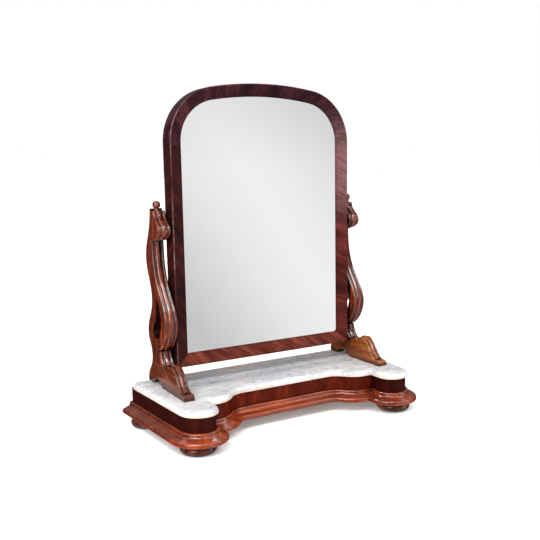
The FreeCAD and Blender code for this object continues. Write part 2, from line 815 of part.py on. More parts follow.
def mould_front(body, name, curve):
    """Runs the moulded section along a front curve of the side profile."""
    spine = new_sketch(body, f"{name}_path", "YZ_Plane")
    draw_curves(spine, [curve])
    start = ends(curve)[0]
    along = curve.tangent(curve.FirstParameter)[0]
    lean = math.degrees(math.atan2(-along.x, along.y))
    place = FreeCAD.Placement(Vector(0, start.x, start.y), FreeCAD.Rotation(Vector(1, 0, 0), lean))
    section = new_sketch(body, f"{name}_section", "XY_Plane", place)
    relief_section(section)
    sweep(body, name, section, spine)


def upright_fronts():
    """Front curves from the top down: head, strand and neck."""
    loop = dim("loop_bottom")
    strand_front = dim("chin_back") + dim("strand_setback")
    head = spline(
        [
            (dim("head_front"), value(HEAD_HEIGHT)),
            (-dim("brow_reach"), value(BROW_HEIGHT)),
            (-dim("nose_reach"), value(NOSE_HEIGHT)),
            (dim("chin_back"), dim("chin_height")),
        ],
        leave=(0, -1),
        arrive=(1, 0),
    )
    strand = spline(
        [
            (strand_front, dim("chin_height")),
            (-dim("strand_mid"), loop + dim("strand_mid_rise")),
            (-dim("belly_reach"), loop + dim("belly_rise")),
            (-dim("belly_under"), loop + dim("belly_under_rise")),
            (strand_front, loop),
        ],
        leave=(0, -1),
        arrive=(1, 0),
    )
    neck = spline(
        [
            (dim("throat_front"), loop - dim("throat_drop")),
            (-dim("neck_front"), dim("bracket_height")),
        ],
        leave=(0, -1),
        arrive=(-1, -1),
    )
    return head, strand, neck


def upright_back():
    """Back curve from the bracket joint up to the horn of the head."""
    loop = dim("loop_bottom")
    return spline(
        [
            (dim("neck_back"), dim("bracket_height")),
            (dim("nape_back"), loop - dim("nape_drop")),
            (dim("loop_back"), loop + dim("loop_back_rise")),
            (dim("waist_back"), loop + dim("waist_rise")),
            (dim("bulge_back"), dim("chin_height") - dim("bulge_drop")),
            (dim("occiput_back"), value(NOSE_HEIGHT) + dim("occiput_rise")),
            (dim("horn_back"), value(HEAD_HEIGHT) + dim("horn_rise")),
        ]
    )


def upright_outline():
    """Side profile: the three fronts, the bracket joint, the back and the dished top."""
    head, strand, neck = upright_fronts()
    back = upright_back()
    crown = (dim("crown_back"), value(HEAD_HEIGHT))
    return [
        head,
        bridge(head, strand),
        strand,
        bridge(strand, neck),
        neck,
        bridge(neck, back),
        back,
        segment(ends(back)[1], crown),
        segment(crown, ends(head)[0]),
    ]


def upright_eye():
    """Teardrop between the front and back strands, one strand's width inside the loop."""
    width = dim("strand_width")
    loop = dim("loop_bottom")
    middle = (dim("loop_back") - dim("belly_reach")) / 2
    top = (dim("eye_middle"), loop + dim("eye_rise"))
    return spline(
        [
            top,
            (width - dim("belly_reach"), loop + dim("belly_rise")),
            (middle, loop + width),
            (dim("loop_back") - dim("loop_width"), loop + dim("loop_back_rise") + width / 4),
            (dim("eye_shoulder"), loop + dim("eye_shoulder_rise")),
            top,
        ],
        leave=(-1, -3),
        arrive=(-1, 4),
    )


def make_upright(side, sign, number):
    label = f"upright_{side}"
    body = new_body(f"{label}_carved")
    sketch = new_sketch(body, f"{label}_profile", "YZ_Plane")
    draw_curves(sketch, upright_outline())
    pad(body, f"{label}_pad", sketch, "dims.upright_thickness", symmetric=True)
    for name, curve in zip(("head", "strand", "neck"), upright_fronts()):
        mould_front(body, f"{label}_{name}", curve)
    eye = new_sketch(body, f"{label}_eye", "YZ_Plane")
    draw_curves(eye, [upright_eye()])
    pocket_through(body, f"{label}_piercing", eye)
    below = new_sketch(body, f"{label}_seat", "YZ_Plane")
    rectangle(below, ("-2 * dims.neck_front", "0"), ("2 * dims.neck_back", "dims.bracket_height"))
    pocket_through(body, f"{label}_seat_cut", below)
    put(body, (mirrored(sign, UPRIGHT_MIDDLE), "dims.pivot_offset", MARBLE_TOP))
    holes = [BOLT_HOLES[number], DOWEL_HOLES[number], FINIAL_HOLES[number], BUSH_SEATS[number]]
    keep(cut(label, body, holes + BUSH_SCREW_HOLES[2 * number : 2 * number + 2]))


# Bracket feet of the uprights
def bracket_fronts():
    """Top curves from the neck forwards: scoop and scroll."""
    scoop = spline(
        [
            (-dim("neck_front"), dim("bracket_height")),
            (-dim("scoop_reach"), dim("scoop_height")),
            (-dim("scroll_foot"), dim("scroll_foot_height")),
        ],
        leave=(-1, -1),
        arrive=(-1, 0),
    )
    scroll = spline(
        [
            (-dim("scroll_foot"), dim("scroll_foot_height")),
            (-dim("scroll_top"), dim("scroll_height")),
            (-dim("scroll_front"), dim("scroll_front_height")),
            (-dim("instep_reach"), dim("instep_height")),
            (-dim("toe_back"), dim("toe_height")),
        ]
    )
    return scoop, scroll


def bracket_outline():
    """Side profile: scoop, scroll, toe, arched underside, heel and the joint to the upright."""
    toe_top = dim("toe_height")
    toe_front = -dim("toe_reach")
    toe_round = dim("toe_round")
    notch_front = -dim("toe_notch") - dim("toe_notch_width")
    notch_back = -dim("toe_notch")
    notch_top = dim("toe_notch_rise")
    corner = Vector(toe_front + toe_round, toe_top - toe_round, 0)
    nosing = Part.ArcOfCircle(Part.Circle(corner, Vector(0, 0, 1), toe_round), math.pi / 2, math.pi)
    arch_back = dim("heel_back") - dim("heel_pad")
    underside = [
        (toe_front, toe_top - toe_round),
        (toe_front, 0),
        (notch_front, 0),
        (notch_front, notch_top),
        (notch_back, notch_top),
        (notch_back, 0),
        (-dim("arch_front"), 0),
    ]
    arch = spline([(-dim("arch_front"), 0), (dim("arch_peak"), dim("arch_rise")), (arch_back, 0)])
    heel = spline(
        [
            (dim("heel_back"), 0),
            (dim("heel_flare"), dim("heel_flare_height")),
            (dim("ankle_back"), dim("ankle_height")),
            (dim("neck_back"), dim("bracket_height")),
        ]
    )
    joint_back = (dim("neck_back"), dim("bracket_height"))
    joint_front = (-dim("neck_front"), dim("bracket_height"))
    lines = [segment(start, end) for start, end in zip(underside, underside[1:])]
    return [
        *bracket_fronts(),
        segment((-dim("toe_back"), toe_top), (toe_front + toe_round, toe_top)),
        nosing,
        *lines,
        arch,
        segment((arch_back, 0), (dim("heel_back"), 0)),
        heel,
        segment(joint_back, joint_front),
    ]


def make_bracket(side, sign, number):
    label = f"upright_foot_{side}"
    body = new_body(f"{label}_carved")
    sketch = new_sketch(body, f"{label}_profile", "YZ_Plane")
    draw_curves(sketch, bracket_outline())
    pad(body, f"{label}_pad", sketch, "dims.upright_thickness", symmetric=True)
    for name, curve in zip(("scoop", "scroll"), bracket_fronts()):
        mould_front(body, f"{label}_{name}", curve)
    above = new_sketch(body, f"{label}_seat", "YZ_Plane")
    low = ("-dims.scoop_reach", "dims.bracket_height")
    rectangle(above, low, ("dims.neck_back", "2 * dims.bracket_height"))
    pocket_through(body, f"{label}_seat_cut", above)
    put(body, (mirrored(sign, UPRIGHT_MIDDLE), "dims.pivot_offset", MARBLE_TOP))
    keep(cut(label, body, [BOLT_HOLES[number], DOWEL_HOLES[number], BRACKET_SCREW_HOLES[number]]))


def make_finials():
    """Ball on a stem and collar, with a spigot into the head of the upright."""
    stem_top = "(dims.finial_collar_height + dims.finial_stem)"
    rise = "sqrt(dims.finial_radius ^ 2 - dims.finial_neck_radius ^ 2)"
    steps = [
        ("dims.finial_spigot_radius", "-dims.finial_spigot_length"),
        ("dims.finial_spigot_radius", "0"),
        ("dims.finial_collar_radius", "0"),
        ("dims.finial_collar_radius", "dims.finial_collar_height"),
        ("dims.finial_neck_radius", "dims.finial_collar_height"),
        ("dims.finial_neck_radius", stem_top),
        ("0", f"{stem_top} + {rise} + dims.finial_radius", "dims.finial_radius", 1),
        ("0", "-dims.finial_spigot_length"),
    ]
    for (side, _), place in zip(SIDES, upright_places("dims.finial_setback")):
        body = turn(new_body(f"finial_{side}"), f"ball_{side}", ("0", "-dims.finial_spigot_length"), steps)
        keep(put(body, (*place, HEAD_TOP)))


def make_upright_fasteners():
    keep(group("upright_bolts", upright_bolts("upright_bolt")))
    keep(group("bracket_screws", bracket_screws("bracket_screw")))
    keep(group("upright_dowels", upright_dowels("upright_dowel")))
    washers = []
    nuts = []
    washer_foot = f"{SUB_TOP_UNDER} - dims.bolt_washer_thickness"
    nut_foot = f"{washer_foot} - dims.nut_height"
    for across, depth in upright_places("dims.bolt_setback"):
        place = (across, depth, washer_foot)
        washers.append(rod("bolt_washer", "dims.bolt_washer_radius", "dims.bolt_washer_thickness", place))
        corner = (f"{across} - dims.nut_width / 2", f"{depth} - dims.nut_width / 2", nut_foot)
        nuts.append(block("bolt_nut", ("dims.nut_width", "dims.nut_width", "dims.nut_height"), corner))
    keep(cut("bolt_washers", group("washer_discs", washers), BOLT_HOLES))
    keep(cut("bolt_nuts", group("nut_squares", nuts), BOLT_HOLES))


# Pivots
def at_pivot(sign, across, depth="0", height="0"):
    """Place measured from the pivot's axis, with the width outwards to one side."""
    return mirrored(sign, across), f"dims.pivot_offset + {depth}", f"{PIVOT_HEIGHT} + {height}"


def outwards(sign):
    return "+x" if sign > 0 else "-x"


def bush_shape(sign, grow="0"):
    """Flange and barrel, let into the inner face of the upright."""
    place = at_pivot(sign, UPRIGHT_INNER)
    axis = outwards(sign)
    length = f"dims.flange_thickness + dims.bush_length + {grow}"
    flange = rod("flange", f"dims.flange_radius + {grow}", f"dims.flange_thickness + {grow}", place, axis)
    barrel = rod("barrel", f"dims.bush_radius + {grow}", length, place, axis)
    return fuse("bush_shape", [flange, barrel])


def bush_screws(sign, grow="0"):
    screws = []
    for height in ("-dims.flange_screw_spacing / 2", "dims.flange_screw_spacing / 2"):
        place = at_pivot(sign, UPRIGHT_INNER, height=height)
        screws.append(screw("bush_screw", "dims.short_screw_length", place, outwards(sign), grow))
    return screws


def plate_screws(sign, grow="0"):
    screws = []
    for height in ("-dims.plate_screw_spacing / 2", "dims.plate_screw_spacing / 2"):
        place = at_pivot(sign, FRAME_SIDE, height=height)
        screws.append(screw("plate_screw", "dims.short_screw_length", place, outwards(-sign), grow))
    return screws


def plate_block(sign, grow="0"):
    """Pivot plate let into the stile, or the recess for it."""
    sizes = ("dims.plate_thickness", f"dims.plate_width + 2 * {grow}", f"dims.plate_length + 2 * {grow}")
    inner = FRAME_SIDE if sign < 0 else f"{FRAME_SIDE} - dims.plate_thickness"
    across, depth, height = at_pivot(sign, inner)
    front = f"{depth} - dims.plate_width / 2 - {grow}"
    corner = (across, front, f"{height} - dims.plate_length / 2 - {grow}")
    return block("plate_block", sizes, corner)


FINIAL_HOLES = []
for finial_place in upright_places("dims.finial_setback"):
    finial_foot = f"{HEAD_TOP} - dims.finial_spigot_length"
    finial_bore = "dims.finial_spigot_radius + dims.fit_gap"
    finial_hole = rod("finial_hole", finial_bore, "dims.finial_spigot_length", (*finial_place, finial_foot))
    FINIAL_HOLES.append(finial_hole)
BUSH_SEATS = [bush_shape(sign, "dims.fit_gap") for _, sign in SIDES]
BUSH_SCREW_HOLES = bush_screws(-1, "dims.fit_gap") + bush_screws(1, "dims.fit_gap")
PLATE_SCREW_HOLES = plate_screws(-1, "dims.fit_gap") + plate_screws(1, "dims.fit_gap")


def make_pivots():
    washer_face = f"({UPRIGHT_INNER} - dims.washer_thickness)"
    boss_face = f"({washer_face} - dims.washer_play)"
    for number, (side, sign) in enumerate(SIDES):
        axis = outwards(sign)
        inner = at_pivot(sign, UPRIGHT_INNER)
        bore_length = "dims.flange_thickness + dims.bush_length"
        bore = rod("bush_bore", "dims.pin_radius + dims.pin_play", bore_length, inner, axis)
        screw_holes = BUSH_SCREW_HOLES[2 * number : 2 * number + 2]
        keep(cut(f"pivot_bush_{side}", bush_shape(sign), [bore] + screw_holes))

        face = at_pivot(sign, washer_face)
        disc = rod("friction_disc", "dims.washer_radius", "dims.washer_thickness", face, axis)
        eye = rod("friction_eye", "dims.pin_radius + dims.washer_room", "dims.washer_thickness", face, axis)
        keep(cut(f"friction_washer_{side}", disc, [eye]))

        boss_place = at_pivot(sign, FRAME_SIDE)
        boss = rod("pivot_boss", "dims.boss_radius", f"{boss_face} - {FRAME_SIDE}", boss_place, axis)
        reach = f"{boss_face} - {FRAME_SIDE} + dims.pin_length"
        pin = rod("pivot_pin", "dims.pin_radius", reach, boss_place, axis)
        plate = fuse("pivot_plate", [plate_block(sign), boss, pin])
        keep(cut(f"pivot_plate_{side}", plate, PLATE_SCREW_HOLES[2 * number : 2 * number + 2]))
    keep(group("pivot_bush_screws", bush_screws(-1) + bush_screws(1)))
    keep(group("pivot_plate_screws", plate_screws(-1) + plate_screws(1)))


# Mirror frame, drawn from the pivot's axis
def frame_section(sketch, at):
    """Splayed face with a slip, glass rebate and ledge; at(inwards, depth) gives a point."""
    back = "dims.frame_depth / 2"
    slip_start = "dims.frame_face - dims.slip_width"
    slip_face = f"{FRAME_FRONT} + dims.splay + dims.slip_step"
    outer_turn = 1 if value(at("1", "0")[0]) > value(at("0", "0")[0]) else -1
    points = [
        at("0", f"{FRAME_FRONT} + dims.edge_round"),
        (*at("dims.edge_round", FRAME_FRONT), "dims.edge_round", outer_turn),
        at(slip_start, f"{FRAME_FRONT} + dims.splay"),
        at(slip_start, slip_face),
        at("dims.frame_face", slip_face),
        at("dims.frame_face", GLASS_FRONT),
        at(REBATE, GLASS_FRONT),
        at(REBATE, LEDGE),
        at(LEDGE_EDGE, LEDGE),
        at(LEDGE_EDGE, back),
        at("0", back),
    ]
    draw(sketch, at("0", back), points)


def mitre(body, name, sign, above):
    """Cuts the bottom corner at 45 degrees, above or below the mitre."""
    sketch = new_sketch(body, name, "XZ_Plane")
    past = "dims.frame_depth"
    reach = f"(dims.frame_face + {past})"
    outer = (mirrored(sign, f"{FRAME_SIDE} + {past}"), f"{RAIL_UNDER} - {past}")
    inner = (mirrored(sign, f"{FRAME_SIDE} - {reach}"), f"{RAIL_UNDER} + {reach}")
    third = (outer[0], inner[1]) if above else (inner[0], outer[1])
    draw(sketch, outer, [inner, third, outer])
    pocket_through(body, f"{name}_cut", sketch)


def frame_path(inset, foot):
    """Inside of the frame's outline from the left foot over the arch to the right foot."""
    crown = f"(dims.arch_crown_radius - {inset})"
    corner = f"(dims.arch_corner_radius - {inset})"
    side = f"({FRAME_SIDE} - {inset})"
    turn_x = f"{crown} * {ARCH_SIN}"
    turn_z = f"{CROWN_TOP} - dims.arch_crown_radius + {crown} * {ARCH_COS}"
    return [
        (f"-{side}", foot),
        (f"-{side}", ARCH_SPRING),
        (f"-({turn_x})", turn_z, corner, -1),
        (turn_x, turn_z, crown, -1),
        (side, ARCH_SPRING, corner, -1),
        (side, foot),
    ]


def sheet_in_frame(label, inset, front, thickness):
    """Flat sheet with the frame's outline, set in by an expression."""
    body = new_body(label)
    sketch = new_sketch(body, f"{label}_outline", "XZ_Plane")
    path = frame_path(inset, f"{RAIL_UNDER} + {inset}")
    draw(sketch, path[0], path[1:] + [path[0]])
    sketch.setExpression("AttachmentOffset.Base.z", f"-({front})")
    pad(body, f"{label}_pad", sketch, thickness, reverse=True)
    return put(body, at_pivot(1, "0"))


def stile_height(share):
    """Height of a point part of the way up the straight stiles, above the pivot."""
    foot = f"({RAIL_UNDER} + dims.frame_face)"
    return f"({foot} + {share} * ({ARCH_JOINT} - {foot}))"


def backboard_screws(name, grow="0"):
    """Screws through the edge of the backboard into the ledge."""
    inset = f"({LEDGE_EDGE} + dims.ledge_width / 2)"
    side = f"({FRAME_SIDE} - {inset})"
    places = [("0", f"{CROWN_TOP} - {inset}")]
    for sign in (-1, 1):
        for share in SCREW_SHARES:
            places.append((mirrored(sign, side), stile_height(share)))
        places.append((mirrored(sign, f"{side} / 2"), f"{RAIL_UNDER} + {inset}"))
    back = f"{LEDGE} + dims.backboard_thickness"
    length = "dims.short_screw_length"
    return [screw(name, length, at_pivot(1, across, back, height), "-y", grow) for across, height in places]


def frame_dowels(name, grow="0"):
    """Dowels across the arch joints and the bottom mitres."""
    radius = f"dims.frame_dowel_radius + {grow}"
    across = f"{FRAME_SIDE} - dims.frame_dowel_inset"
    arch_foot = f"{ARCH_JOINT} - dims.frame_dowel_length / 2"
    mitre_foot = f"{RAIL_UNDER} + dims.frame_dowel_cover"
    dowels = []
    for sign in (-1, 1):
        for foot in (arch_foot, mitre_foot):
            dowels.append(rod(name, radius, "dims.frame_dowel_length", at_pivot(sign, across, "0", foot)))
    return dowels


def make_frame():
    screw_holes = backboard_screws("backboard_screw_hole", "dims.fit_gap")
    dowel_holes = frame_dowels("frame_dowel_hole", "dims.fit_gap")
    keep(group("backboard_screws", backboard_screws("backboard_screw")))
    keep(group("frame_dowels", frame_dowels("frame_dowel")))

    for number, (side, sign) in enumerate(SIDES):
        label = f"frame_stile_{side}"
        body = new_body(f"{label}_run")
        sketch = new_sketch(body, f"{label}_section", "XY_Plane")
        sketch.setExpression("AttachmentOffset.Base.z", RAIL_UNDER)
        frame_section(sketch, lambda inwards, depth: (mirrored(sign, f"{FRAME_SIDE} - ({inwards})"), depth))
        pad(body, f"{label}_pad", sketch, f"{ARCH_JOINT} - {RAIL_UNDER}")
        mitre(body, f"{label}_mitre", sign, above=False)
        put(body, at_pivot(1, "0"))
        plate_holes = PLATE_SCREW_HOLES[2 * number : 2 * number + 2]
        recess = plate_block(sign, "dims.fit_gap")
        keep(cut(label, body, screw_holes + dowel_holes + plate_holes + [recess]))

    body = new_body("bottom_rail_run")
    sketch = new_sketch(body, "bottom_rail_section", "YZ_Plane")
    frame_section(sketch, lambda inwards, depth: (depth, f"{RAIL_UNDER} + {inwards}"))
    pad(body, "bottom_rail_pad", sketch, f"2 * {FRAME_SIDE}", symmetric=True)
    for side, sign in SIDES:
        mitre(body, f"bottom_rail_mitre_{side}", sign, above=True)
    put(body, at_pivot(1, "0"))
    keep(cut("frame_bottom_rail", body, screw_holes + dowel_holes))

    body = new_body("top_arch_run")
    spine = new_sketch(body, "top_arch_path", "XZ_Plane")
    path = frame_path("0", ARCH_JOINT)
    draw(spine, path[0], path[1:], closed=False)
    section = new_sketch(body, "top_arch_section", "XY_Plane")
    section.setExpression("AttachmentOffset.Base.z", ARCH_JOINT)
    frame_section(section, lambda inwards, depth: (f"{inwards} - {FRAME_SIDE}", depth))
    sweep(body, "top_arch_sweep", section, spine)
    put(body, at_pivot(1, "0"))
    keep(cut("frame_top_arch", body, screw_holes + dowel_holes))

    inset = f"({REBATE} + dims.glass_room)"
    keep(sheet_in_frame("mirror_glass", inset, GLASS_FRONT, "dims.glass_thickness"))
    inset = f"({LEDGE_EDGE} + dims.glass_room)"
    board = sheet_in_frame("backboard_sheet", inset, LEDGE, "dims.backboard_thickness")
    keep(cut("mirror_backboard", board, screw_holes))


def make_glass_blocks():
    """Blocks in the rebate that hold the glass against the slip."""
    deep = f"{LEDGE} - {GLASS_BACK}"
    width = "dims.glass_block_width"
    length = "dims.glass_block_length"
    blocks = []
    for sign in (-1, 1):
        side = f"({FRAME_SIDE} - {REBATE})"
        low = f"-{side}" if sign < 0 else f"{side} - {width}"
        for share in BLOCK_SHARES:
            foot = f"{stile_height(share)} - {length} / 2"
            blocks.append(block("side_block", (width, deep, length), at_pivot(1, low, GLASS_BACK, foot)))
        low = f"{sign} * dims.glass_block_spacing / 2 - {length} / 2"
        foot = f"{RAIL_UNDER} + {REBATE}"
        blocks.append(block("foot_block", (length, deep, width), at_pivot(1, low, GLASS_BACK, foot)))
    keep(group("glass_blocks", blocks))


make_frieze()
make_mouldings()
make_marble()
make_plinth_boards()
for corner, place in FOOT_PLACES:
    make_bun_foot(corner, place)
for number, (side, sign) in enumerate(SIDES):
    make_bracket(side, sign, number)
    make_upright(side, sign, number)
make_finials()
make_upright_fasteners()
make_pivots()
make_frame()
make_glass_blocks()

doc.recompute()
for item in doc.Objects:
    if "Invalid" in item.State or "Error" in item.State:
        raise RuntimeError(f"{item.Label} did not build")
for piece in pieces:
    if piece.Shape.isNull() or not piece.Shape.isValid():
        raise RuntimeError(f"{piece.Label} has no valid shape")
os.makedirs("parts", exist_ok=True)
for piece in pieces:
    piece.Shape.exportStep(f"parts/{piece.Label}.step")
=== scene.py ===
"""Looks of a Victorian mahogany toilet mirror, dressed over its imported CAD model."""

import math

import bpy
from mathutils import Matrix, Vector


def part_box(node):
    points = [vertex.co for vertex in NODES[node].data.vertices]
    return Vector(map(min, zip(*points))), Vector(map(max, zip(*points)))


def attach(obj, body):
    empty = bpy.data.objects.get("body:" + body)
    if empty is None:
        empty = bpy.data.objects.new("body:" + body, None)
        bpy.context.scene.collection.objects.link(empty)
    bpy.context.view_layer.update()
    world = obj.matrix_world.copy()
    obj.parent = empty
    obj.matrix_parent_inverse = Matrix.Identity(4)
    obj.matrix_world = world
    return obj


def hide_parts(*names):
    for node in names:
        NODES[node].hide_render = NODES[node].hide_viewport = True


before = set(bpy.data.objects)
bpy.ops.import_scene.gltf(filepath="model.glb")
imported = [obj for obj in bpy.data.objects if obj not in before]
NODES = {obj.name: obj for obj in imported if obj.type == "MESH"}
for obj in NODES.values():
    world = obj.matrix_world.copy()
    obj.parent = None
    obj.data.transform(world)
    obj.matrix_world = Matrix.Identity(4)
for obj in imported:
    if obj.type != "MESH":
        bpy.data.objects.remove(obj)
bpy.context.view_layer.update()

# Camera, fitted to the photograph
CAMERA_PLACE = (-0.9587, -1.6197, 0.6465)
CAMERA_YAW = 29.906
CAMERA_PITCH = 8.037
CAMERA_ROLL = 1.019
CAMERA_LENS = 49.26
CAMERA_SHIFT = (0.0015, 0.0067)
CAMERA_SIGHT = 100


def make_camera():
    data = bpy.data.cameras.new("camera")
    data.lens = CAMERA_LENS
    data.shift_x, data.shift_y = CAMERA_SHIFT
    data.clip_end = CAMERA_SIGHT
    camera = bpy.data.objects.new("camera", data)
    turn = Matrix.Rotation(-math.radians(CAMERA_YAW), 4, "Z")
    tilt = Matrix.Rotation(math.radians(90 - CAMERA_PITCH), 4, "X")
    roll = Matrix.Rotation(-math.radians(CAMERA_ROLL), 4, "Z")
    camera.matrix_world = Matrix.Translation(CAMERA_PLACE) @ turn @ tilt @ roll
    bpy.context.scene.collection.objects.link(camera)
    bpy.context.scene.camera = camera


# Node trees

def tone(code):
    """A colour written as six hex digits, in linear light."""
    parts = [int(code[i:i + 2], 16) / 255 for i in (0, 2, 4)]
    linear = [p / 12.92 if p <= 0.04045 else ((p + 0.055) / 1.055) ** 2.4 for p in parts]
    return (*linear, 1.0)


def grey(level):
    return (level, level, level, 1.0)


def feed(tree, socket, value):
    """Links a socket to an output, or sets it to a constant."""
    if isinstance(value, bpy.types.NodeSocket):
        tree.links.new(value, socket)
    else:
        socket.default_value = value


def add(tree, kind, inputs, **settings):
    """A node with its settings and with its inputs, keyed by name or number, fed."""
    made = tree.nodes.new(kind)
    for key, setting in settings.items():
        setattr(made, key, setting)
    for key, value in inputs.items():
        feed(tree, made.inputs[key], value)
    return made


def place(tree):
    """Where a point of the surface is at rest, in metres."""
    return add(tree, "ShaderNodeTexCoord", {}).outputs["Object"]


def work(tree, operation, first, second=0.0, clamp=False):
    made = add(tree, "ShaderNodeMath", {0: first, 1: second}, operation=operation, use_clamp=clamp)
    return made.outputs[0]


def times(tree, first, *others):
    """The product of all the values."""
    for other in others:
        first = work(tree, "MULTIPLY", first, other)
    return first


def vector_work(tree, operation, inputs, output=0):
    return add(tree, "ShaderNodeVectorMath", inputs, operation=operation).outputs[output]


def turned(tree, vector, degrees):
    angles = [math.radians(d) for d in degrees]
    return add(tree, "ShaderNodeMapping", {"Vector": vector, "Rotation": angles}).outputs[0]


def scaled(tree, vector, scale):
    return add(tree, "ShaderNodeMapping", {"Vector": vector, "Scale": scale}).outputs[0]


def noise(tree, vector, scale, detail=3.0, rough=0.5, swirl=0.0):
    inputs = {"Vector": vector, "Scale": scale, "Detail": detail, "Roughness": rough, "Distortion": swirl}
    return add(tree, "ShaderNodeTexNoise", inputs).outputs[0]


def spread(tree, value, low, high, first=0.0, last=1.0):
    """Maps low..high to first..last, smoothly and clamped."""
    inputs = {"Value": value, "From Min": low, "From Max": high, "To Min": first, "To Max": last}
    return add(tree, "ShaderNodeMapRange", inputs, interpolation_type="SMOOTHSTEP").outputs[0]


def ramp(tree, value, *stops):
    """A colour ramp through (position, colour) stops."""
    made = add(tree, "ShaderNodeValToRGB", {0: value})
    elements = made.color_ramp.elements
    while len(elements) < len(stops):
        elements.new(0.5)
    for element, (position, colour) in zip(elements, stops):
        element.position = position
        element.color = colour
    return made.outputs[0]


def grey_ramp(tree, value, stops):
    """A ramp through (position, brightness) stops."""
    return ramp(tree, value, *[(position, grey(level)) for position, level in stops])


def mix(tree, share, first, second):
    return add(tree, "ShaderNodeMix", {0: share, 6: first, 7: second}, data_type="RGBA").outputs[2]


def axes(tree, vector):
    return add(tree, "ShaderNodeSeparateXYZ", {0: vector}).outputs


def axis(tree, vector, number):
    return axes(tree, vector)[number]


def facing(tree, number):
    """How far the surface faces along an axis at rest, either way."""
    normal = add(tree, "ShaderNodeTexCoord", {}).outputs["Normal"]
    return work(tree, "ABSOLUTE", axis(tree, normal, number))


def warped(tree, vector, scale, amount):
    """The place moved about by soft noise, so that lines wander."""
    soft = add(tree, "ShaderNodeTexNoise", {"Vector": vector, "Scale": scale, "Detail": 2.0}).outputs[1]
    centred = vector_work(tree, "SUBTRACT", {0: soft, 1: (0.5, 0.5, 0.5)})
    moved = vector_work(tree, "SCALE", {0: centred, "Scale": amount})
    return vector_work(tree, "ADD", {0: vector, 1: moved})


def edges(tree, radius):
    """Rounded normals, and how close a point is to an outer arris or an inner corner."""
    soft = add(tree, "ShaderNodeBevel", {"Radius": radius}, samples=6).outputs[0]
    true = add(tree, "ShaderNodeNewGeometry", {}).outputs["True Normal"]
    turn = vector_work(tree, "DOT_PRODUCT", {0: soft, 1: true}, "Value")
    return soft, work(tree, "SUBTRACT", 1.0, turn, clamp=True)


def crevice(tree, distance):
    """1 in a deep corner and 0 on an open face."""
    shade = add(tree, "ShaderNodeAmbientOcclusion", {"Distance": distance}, samples=8).outputs["AO"]
    return work(tree, "SUBTRACT", 1.0, shade, clamp=True)


def new_material(name):
    material = bpy.data.materials.new(name)
    material.use_nodes = True
    tree = material.node_tree
    return material, tree, tree.nodes["Principled BSDF"]


def bump(tree, height, depth, normal, strength):
    inputs = {"Strength": strength, "Distance": depth, "Height": height, "Normal": normal}
    return add(tree, "ShaderNodeBump", inputs).outputs[0]


# Woods

ARCH_CENTRE = 0.62
ARCH_REACH = 0.25


def along_arch(tree):
    """The place bent straight along the arch: X follows the curve, Z points away from its middle."""
    x, y, z = axes(tree, place(tree))
    high = work(tree, "SUBTRACT", z, ARCH_CENTRE)
    angle = work(tree, "ARCTAN2", x, high)
    squares = [work(tree, "POWER", work(tree, "ABSOLUTE", v), 2.0) for v in (x, high)]
    reach = work(tree, "SQRT", work(tree, "ADD", *squares))
    run = work(tree, "MULTIPLY", angle, ARCH_REACH)
    return add(tree, "ShaderNodeCombineXYZ", {0: run, 2: work(tree, "ADD", reach, y)}).outputs[0]


def wrapped(tree):
    """The place with its depth laid out flat, so that the figure goes on round a corner."""
    x, y, z = axes(tree, place(tree))
    return add(tree, "ShaderNodeCombineXYZ", {0: work(tree, "ADD", x, y), 2: z}).outputs[0]


# Where, how far and in what colour a sheen of light is painted on the frame's right shoulder
SHEEN_CENTRE = (0.235, 0.055, 0.65)
SHEEN_REACH = 0.19
SHEEN_TONE = "7d5d5f"


def painted_sheen(tree, streaks):
    """A painted sheen of light on the polish at the frame's right shoulder, drawn out along the grain."""
    off = vector_work(tree, "DISTANCE", {0: place(tree), 1: SHEEN_CENTRE}, "Value")
    round_patch = spread(tree, off, SHEEN_REACH, 0.15 * SHEEN_REACH, 0.0, 0.6)
    return times(tree, round_patch, spread(tree, streaks, 0.35, 0.6, 0.45, 1.0))


BAND_DEPTH = 0.005
BAND_FULL = 0.002


def edge_wear_and_highlight(tree):
    """1 on the sides of the mirror's frame, in the narrow band behind its front that is painted pale: partly
    wear, partly a painted highlight on the arris.
    """
    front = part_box("frame_top_arch")[0].y
    side = spread(tree, facing(tree, 1), 0.9, 0.5)
    band = spread(tree, axis(tree, place(tree), 1), front + BAND_DEPTH, front + BAND_FULL)
    broken = spread(tree, noise(tree, place(tree), 9.0, 2.0), 0.36, 0.62, 0.15, 1.0)
    return times(tree, side, band, broken)


# Pierced eye and loop of an upright, where shade is painted: depths, and heights above the marble
EYE_MIDDLE = 0.09
EYE_FLOOR = 0.112
EYE_WIDEST = 0.165
EYE_TOP = 0.24
EYE_HALF_WIDTH = 0.032
EYE_TIP = 0.006
LOOP_CENTRE = (0.1125, 0.154)
LOOP_REACH = 0.06
LOOP_BACK = 0.102
LINE_WIDTH = 0.0015
LINE_FADE = 0.005


